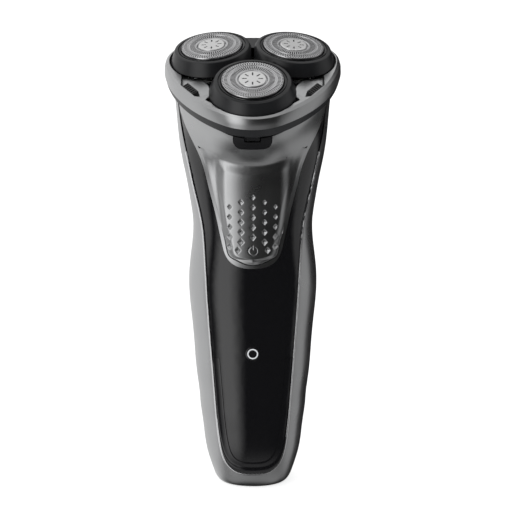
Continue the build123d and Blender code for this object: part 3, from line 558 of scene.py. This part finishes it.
class FrontFit:
    """Smooth stand-in for the front surface, blind to the dimples and seams in it."""

    POWERS = (0, 2, 4)

    def __init__(self, front, levels, reaches):
        self.scale = max(reaches)
        self.levels = levels
        curves = np.array([self.fit(front, z, reach) for z, reach in zip(levels, reaches)])
        for _ in range(4):
            inner = (curves[:-2] + 2 * curves[1:-1] + curves[2:]) / 4
            curves = np.concatenate([curves[:1], inner, curves[-1:]])
        self.curves = curves

    def basis(self, x):
        return np.stack([(x / self.scale) ** power for power in self.POWERS], axis=-1)

    def fit(self, front, z, reach):
        pairs = [(x, front.depth(x, z)) for x in np.linspace(-reach, reach, 81)]
        pairs = np.array([(x, y) for x, y in pairs if y is not None])
        basis = self.basis(pairs[:, 0])
        keep = np.ones(len(pairs), bool)
        for _ in range(8):
            curve = np.linalg.lstsq(basis[keep], pairs[keep, 1], rcond=None)[0]
            error = pairs[:, 1] - basis @ curve
            keep = error < max(0.015 * MM, np.median(np.abs(error)) * 1.5)
        return curve

    def depth(self, x, z):
        curve = [np.interp(z, self.levels, column) for column in self.curves.T]
        return float(self.basis(x) @ np.array(curve))


def smooth_step(value):
    value = min(1.0, max(0.0, value))
    return value * value * (3 - 2 * value)


# ---------------------------------------------------------------- power pad
PAD_ROWS = 200
PAD_COLUMNS = 131
PAD_LIP = 1.2 * MM  # the pad's skin runs this far past the crease
PAD_FLOAT = 0.03 * MM  # and this far over the plate
PAD_BULGE = 0.95 * MM
PAD_SOFT = 3.0 * MM
PILLOW_HALF = 13.6 * MM  # half width of the raised part
PILLOW_SIDE = 4.2 * MM  # width of its sloping sides
PAD_ROUND = 0.4 * MM
PAD_SKIRT = 0.8 * MM
PAD_INSET = 0.12 * MM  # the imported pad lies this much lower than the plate
SEAM_WIDTH = 0.18 * MM
COVER_WIDTH = 0.45 * MM  # how far the skin runs over the plate where it hides the seam
COVER_LOW = 94 * MM
COVER_RANGE = 12 * MM
CREASE_BLEND = 4.2 * MM
LIP_TAPER = 0.6  # share of the lip that is lost towards the sides
SIDE_CROWDING = 0.25  # how much closer the columns of points stand at the sides
FOOT_CROWDING = 1.25  # and the rows at the lower end
CREASE_POINTS = 31
WIDTH_LEVELS = 90
ABOVE_LEVELS = 14  # heights above the crease, where the plate's width stands in
ABOVE = 2 * MM
FIT_LEVELS = 60
DIMPLE_DEPTH = 0.78 * MM
DIMPLE_COLUMNS = (0.0, 4.2 * MM, 8.2 * MM)  # distances from the middle line
DIMPLE_FIRST = 98.4 * MM  # height of the middle column's lowest dimple
DIMPLE_PITCH = 3.62 * MM
DIMPLE_ROWS = 5
DIMPLE_SIZE = 1.45  # half height of the lowest ones, in millimetres
DIMPLE_SHRINK = 0.09
DIMPLE_NARROW = 1.15  # how much taller than wide they are
LOW_DIMPLE = (5.3 * MM, 93.6 * MM, 1.4 * MM)  # the pair beside the power symbol
MARK_HEIGHT = 93.4 * MM
MARK_RADIUS = 1.55 * MM
MARK_DEPTH = 0.10 * MM
MARK_GAP = 0.55 * MM  # half width of the opening at the ring's top
MARK_BAR = (1.2 * MM, 0.7 * MM)  # the bar's middle and half length
STROKE_HALF = 0.08 * MM
STROKE_EDGE = 0.2 * MM


def dimples():
    """Staggered columns of diamond dimples that shrink upwards, as x, z and half size."""
    places = []
    for column, x in enumerate(DIMPLE_COLUMNS):
        first = DIMPLE_FIRST - column * DIMPLE_PITCH / 2
        for row in range(DIMPLE_ROWS):
            size = (DIMPLE_SIZE - DIMPLE_SHRINK * row) * MM
            for side in ((1,) if column == 0 else (-1, 1)):
                places.append((side * x, first + row * DIMPLE_PITCH, size))
    x, z, size = LOW_DIMPLE
    return places + [(side * x, z, size) for side in (-1, 1)]


DIMPLES = dimples()


def dimple_depth(x, z):
    """Depth of the four-sided dimples and of the power symbol at a point of the pad."""
    for centre_x, centre_z, size in DIMPLES:
        off = (abs(x - centre_x) * DIMPLE_NARROW + abs(z - centre_z)) / size
        if off < 1:
            return DIMPLE_DEPTH * (1 - off) * size / (DIMPLE_SIZE * MM)
    return power_mark(x, z - MARK_HEIGHT)


def power_mark(x, up):
    """Depth of the shallow ring and bar of a power symbol."""
    off_ring = abs(math.hypot(x, up) - MARK_RADIUS)
    if up > 0 and abs(x) < MARK_GAP:
        off_ring = MM
    off_bar = max(abs(x), abs(up - MARK_BAR[0]) - MARK_BAR[1])
    off = min(off_ring, off_bar)
    return MARK_DEPTH * (1 - smooth_step((off - STROKE_HALF) / STROKE_EDGE))


class PadShape:
    """The pad's outline and surface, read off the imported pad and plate."""

    def __init__(self):
        self.pad = FrontView("power_button")
        self.both = FrontView("power_button", "thumb_plate")
        self.plate = FrontView("thumb_plate")
        low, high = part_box("power_button")
        self.bottom = low.z
        while self.pad.misses(0.0, self.bottom):
            self.bottom += 0.02 * MM
        self.crease_x = np.linspace(0.0, high.x - 0.6 * MM, CREASE_POINTS)
        self.crease_z = np.array([self.crease_at(x, high.z) for x in self.crease_x])
        middle_top = self.crease_z[0]
        shares = np.linspace(0, 1, WIDTH_LEVELS) ** 2
        fine = self.bottom + (middle_top - 0.3 * MM - self.bottom) * shares
        widths = [self.pad.half_width(z) for z in fine]
        border = self.both.half_width(fine[-1]) - widths[-1]
        above = np.linspace(middle_top + 0.4 * MM, high.z + ABOVE, ABOVE_LEVELS)
        self.width_z = np.concatenate([fine, above])
        upper = [self.both.half_width(z, 9 * MM) - border for z in above]
        self.width_x = np.array(widths + upper)
        levels = np.linspace(self.bottom - 0.4 * MM, high.z + ABOVE, FIT_LEVELS)
        reaches = [max(5 * MM, self.width(z)) for z in levels]
        self.surface = FrontFit(self.both, levels, reaches)

    def crease_at(self, x, highest):
        """Upper edge of the pad at one distance from the middle line."""
        low = highest - 1 * MM
        while self.pad.misses(x, low):
            low -= 0.5 * MM
        return boundary(low, low + 1 * MM, lambda z: self.pad.misses(x, z))[0]

    def crease(self, x):
        beyond = max(0.0, abs(x) - self.crease_x[-1])
        rise = (self.crease_z[-1] - self.crease_z[-4]) / (self.crease_x[-1] - self.crease_x[-4])
        return float(np.interp(abs(x), self.crease_x, self.crease_z)) + beyond * rise

    def width(self, z):
        return float(np.interp(z, self.width_z, self.width_x))

    def cover(self, z):
        """Share of the side seam that the skin hides: all of it high up, none low down."""
        return smooth_step((z - COVER_LOW) / COVER_RANGE)

    def reach(self, z):
        return self.width(z) + COVER_WIDTH * self.cover(z)

    def step_to_plate(self, x):
        """How far the plate stands out beside the fitted surface, just past the crease."""
        z = self.crease(x) + 0.5 * MM
        found = self.plate.depth(x, z)
        return 0.0 if found is None else found - self.surface.depth(x, z)

    def point(self, u, v, step):
        """A point of the skin, u across from -1 to 1 and v down from 0 to 1."""
        lip = PAD_LIP * (1 - LIP_TAPER * smooth_step((abs(u) - 0.75) / 0.22))
        top, bottom = self.crease_z[0] + lip, self.bottom
        z_middle = bottom + (top - bottom) * (1 - v)
        x = u * self.reach(z_middle)
        for _ in range(5):
            rise = (self.crease(x) - self.crease_z[0]) * (1 - v) ** 2
            z = z_middle + rise
            x = u * self.reach(z)
        slope = (self.width(z + 0.1 * MM) - self.width(z - 0.1 * MM)) / (0.2 * MM)
        edge = (self.reach(z) - abs(x)) / math.sqrt(1 + slope * slope)
        below = self.crease(x) - z
        hidden = self.cover(z)
        y = self.surface.depth(x, z)
        if abs(x) > self.width(z) + SEAM_WIDTH and below >= 0:
            found = self.plate.depth(x, z)
            return Vector((x, (y if found is None else found) - 0.3 * PAD_FLOAT, z))
        if below < 0:
            over = PAD_FLOAT * (1 + 1.3 * below / max(lip, 0.1 * MM))
            found = self.plate.depth(x, z)
            return Vector((x, (y + step if found is None else found) - over, z))
        y += step * (1 - smooth_step(below / CREASE_BLEND)) - PAD_FLOAT
        inside = smooth_step((PILLOW_HALF - abs(x)) / PILLOW_SIDE) * smooth_step(edge / PAD_SOFT)
        y -= PAD_BULGE * inside * smooth_step(below / CREASE_BLEND)
        y -= PAD_INSET * hidden * (1 - smooth_step((edge - COVER_WIDTH) / (2 * MM)))
        if edge < PAD_ROUND:
            y += 0.5 * PAD_ROUND * (1 - edge / PAD_ROUND) ** 2 * (1 - hidden)
        return Vector((x, y + dimple_depth(x, z), z))


def make_pad():
    """The pillow-shaped pad with its dimples, a skin with a skirt all round."""
    shape = PadShape()
    even = [2 * j / (PAD_COLUMNS - 1) - 1 for j in range(PAD_COLUMNS)]
    columns = [math.sin(math.pi / 2 * u) * SIDE_CROWDING + (1 - SIDE_CROWDING) * u for u in even]
    steps = [shape.step_to_plate(u * 12.0 * MM) for u in columns]
    verts = []
    for i in range(PAD_ROWS):
        share = i / (PAD_ROWS - 1)
        v = 1 - (1 - share) ** FOOT_CROWDING
        for u, step in zip(columns, steps):
            verts.append(shape.point(u, v, step))
    grid = [[i * PAD_COLUMNS + j for j in range(PAD_COLUMNS)] for i in range(PAD_ROWS)]
    faces = grid_faces(PAD_ROWS, PAD_COLUMNS)
    rim = [row[0] for row in grid] + grid[-1][1:] + [row[-1] for row in reversed(grid[:-1])]
    first = len(verts)
    verts += [verts[index] + Vector((0, PAD_SKIRT, 0)) for index in rim]
    faces += [(rim[k], first + k, first + k + 1, rim[k + 1]) for k in range(len(rim) - 1)]
    mesh = bpy.data.meshes.new("power_pad")
    mesh.from_pydata(verts, [], faces)
    work = bmesh.new()
    work.from_mesh(mesh)
    bmesh.ops.remove_doubles(work, verts=work.verts, dist=0.002 * MM)
    bmesh.ops.recalc_face_normals(work, faces=work.faces)
    work.to_mesh(mesh)
    work.free()
    turn_towards(mesh, Vector((0, -1, 0)))
    add_piece("power_pad", mesh, "button", "silver_casing", ["silver_casing"], "power_button")
    mesh.set_sharp_from_angle(angle=SMOOTH_ANGLE)


# ---------------------------------------------------------------- trim and lamp
TRIM_TURN = 22 * MM  # below this height the trim's points are found round the U's middle
TRIM_TURNS = 36  # points on that quarter turn
TRIM_TOP = 127 * MM
TRIM_LEVELS = 110  # points above it
TRIM_CLEAR = 8 * MM  # nearer to the U's middle than this there's no casing to find
TRIM_SEAT = 0.25 * MM  # how far past its line the trim's height is taken
TRIM_PROFILE = [(-0.24, 0.40), (-0.22, 0.05), (-0.14, -0.10), (0.0, -0.20), (0.2, -0.25),
                (0.4, -0.21), (0.56, -0.10), (0.62, 0.10)]  # across and along Y, millimetres


def trim_line(front):
    """Points of the casing's inner edge on the right, from the lowest one upwards."""
    points = []
    for k in range(TRIM_TURNS):
        angle = math.radians(-90 + 90 * k / TRIM_TURNS)
        across, up = math.cos(angle), math.sin(angle)

        def on_casing(reach):
            place = (across * reach, TRIM_TURN + up * reach)
            return reach >= TRIM_CLEAR and not front.misses(*place)

        high = boundary(0.0, WIDEST, on_casing, 16)[1]
        points.append((across * high, TRIM_TURN + up * high))
    for z in np.linspace(TRIM_TURN, TRIM_TOP, TRIM_LEVELS):
        high = WIDEST
        while front.misses(high, z) and high > 10 * MM:
            high -= 0.1 * MM
        high = boundary(0.0, high, lambda x: not front.misses(x, z), 16)[1]
        points.append((high, float(z)))
    return points


PANEL_DROP = 2.2 * MM  # how far the glossy front laps over the casing at the foot
DROP_FOOT = 18 * MM  # the drop is whole below this height
DROP_TOP = 52 * MM  # and fades out at this one
LAP_COUNT = 29  # points across the lap
LAP_REACH = 2.8 * MM  # how far it runs back over the glossy front
LAP_HEIGHT = 0.1 * MM
LAP_SPREADS = 2
LAP_SMOOTHING = 4


def both_sides(right):
    """The line from the left end to the right one, from its right half."""
    return [(-x, z) for x, z in reversed(right[1:])] + right


def lowered(x, z):
    """A point of the casing's inner edge, moved down near the foot."""
    return x, z - PANEL_DROP * (1 - smooth_step((z - DROP_FOOT) / (DROP_TOP - DROP_FOOT)))


def outward_at(line, i):
    """Across the line at one of its points, away from the glossy front."""
    before, after = line[max(0, i - 1)], line[min(len(line) - 1, i + 1)]
    along = Vector((after[0] - before[0], after[1] - before[1])).normalized()
    return Vector((along.y, -along.x))


def make_panel_lap(front):
    """The glossy front's lower end, a thin skin that laps over the casing's inner edge."""
    either = FrontView("main_housing", "front_panel")
    line = both_sides([point for point in trim_line(front) if point[1] < DROP_TOP])
    shares = np.linspace(0, 1, LAP_COUNT)
    heights = []
    places = []
    for i, (x, z) in enumerate(line):
        start = Vector((x, z)) - outward_at(line, i) * LAP_REACH
        end = Vector(lowered(x, z))
        row = [start.lerp(end, share) for share in shares]
        met = [(share, either.depth(*place)) for share, place in zip(shares, row)]
        met = [(share, y) for share, y in met if y is not None]
        heights.append(np.interp(shares, [share for share, _ in met], [y for _, y in met]))
        places.append(row)
    heights = np.array(heights)
    for _ in range(LAP_SPREADS):
        heights[:, 1:-1] = np.minimum(np.minimum(heights[:, :-2], heights[:, 2:]),
                                      heights[:, 1:-1])
    for _ in range(LAP_SMOOTHING):
        heights[1:-1] = (heights[:-2] + 2 * heights[1:-1] + heights[2:]) / 4
        middle = heights[:, 1:-1]
        heights[:, 1:-1] = (heights[:, :-2] + 2 * middle + heights[:, 2:]) / 4
    verts = [(place.x, y - LAP_HEIGHT, place.y) for row, ys in zip(places, heights)
             for place, y in zip(row, ys)]
    mesh = front_mesh("panel_lap", verts, grid_faces(len(line), LAP_COUNT))
    add_piece("panel_lap", mesh, "casing", "black_gloss", ["black_gloss"])


def make_trim(front):
    """A fine raised edge where the casing meets the glossy front, on both sides, in a lighter copy of the casing's
    silver as a painted highlight.
    """
    either = FrontView("main_housing", "front_panel")
    line = [lowered(x, z) for x, z in both_sides(trim_line(front))]
    verts = []
    for i, (x, z) in enumerate(line):
        outward = outward_at(line, i)
        middle = front.depth(x + outward.x * TRIM_SEAT, z + outward.y * TRIM_SEAT)
        if middle is None:
            continue
        for across, out in TRIM_PROFILE:
            place = Vector((x, z)) + outward * across * MM
            y = either.depth(*place) or middle
            if across * MM < TRIM_SEAT:
                y = min(y, middle)
            verts.append(Vector((place.x, y + out * MM, place.y)))
    count = len(TRIM_PROFILE)
    mesh = front_mesh("casing_trim", verts, grid_faces(len(verts) // count, count))
    add_piece("casing_trim", mesh, "casing", "silver_casing", ["trim_highlight_metal"])


LAMP_TURNS = 96
LENS_RADIUS = 2.66  # millimetres, as the ring's radii are
RING_INNER = 1.50
RING_OUTER = 1.98
BEND_REACH = 2.0  # where the front's bend is measured, millimetres from the lamp's middle


def make_lamp():
    """Smoked lens with a plain light ring in it, both bent as the glossy front is."""
    low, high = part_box("status_light")
    middle = (low.z + high.z) / 2
    front = FrontView("status_light")
    y = front.depth(0.0, middle)
    reach = BEND_REACH * MM
    bend = (front.depth(reach, middle) - y) / BEND_REACH ** 2  # metres per square millimetre
    lean = (front.depth(0.0, middle + reach) - front.depth(0.0, middle - reach)) / (2 * BEND_REACH)

    def rings(name, profile):
        verts = []
        for radius, out in profile:
            for k in range(LAMP_TURNS):
                angle = 2 * math.pi * k / LAMP_TURNS
                x, z = radius * math.cos(angle), radius * math.sin(angle)
                verts.append((x * MM, y + bend * x * x + lean * z - out * MM, middle + z * MM))
        faces = [ring_face(i, k, LAMP_TURNS)
                 for i in range(len(profile) - 1) for k in range(LAMP_TURNS)]
        return front_mesh(name, verts, faces)

    lens = rings("lamp_lens", [(0.01, 0.05), (0.8, 0.05), (1.6, 0.045), (2.3, 0.03),
                               (2.55, 0.01), (LENS_RADIUS, -0.06), (LENS_RADIUS, -0.8)])
    add_piece("lamp_lens", lens, "casing", "light_lens", ["smoked_lens"], "status_light")
    ring = rings("lamp_ring", [(RING_INNER, 0.03), (RING_INNER + 0.03, 0.065),
                               (RING_OUTER - 0.03, 0.065), (RING_OUTER, 0.03)])
    add_piece("lamp_ring", ring, "casing", "light_lens", ["lamp_white"])


for cutter in CUTTERS:
    make_cap(cutter)
    make_badge(cutter)
make_pad()
casing_front = FrontView("main_housing")
make_panel_lap(casing_front)
make_trim(casing_front)
make_lamp()
finish_cad_nodes()
make_floor()
make_studio()
make_camera()

bpy.context.view_layer.update()
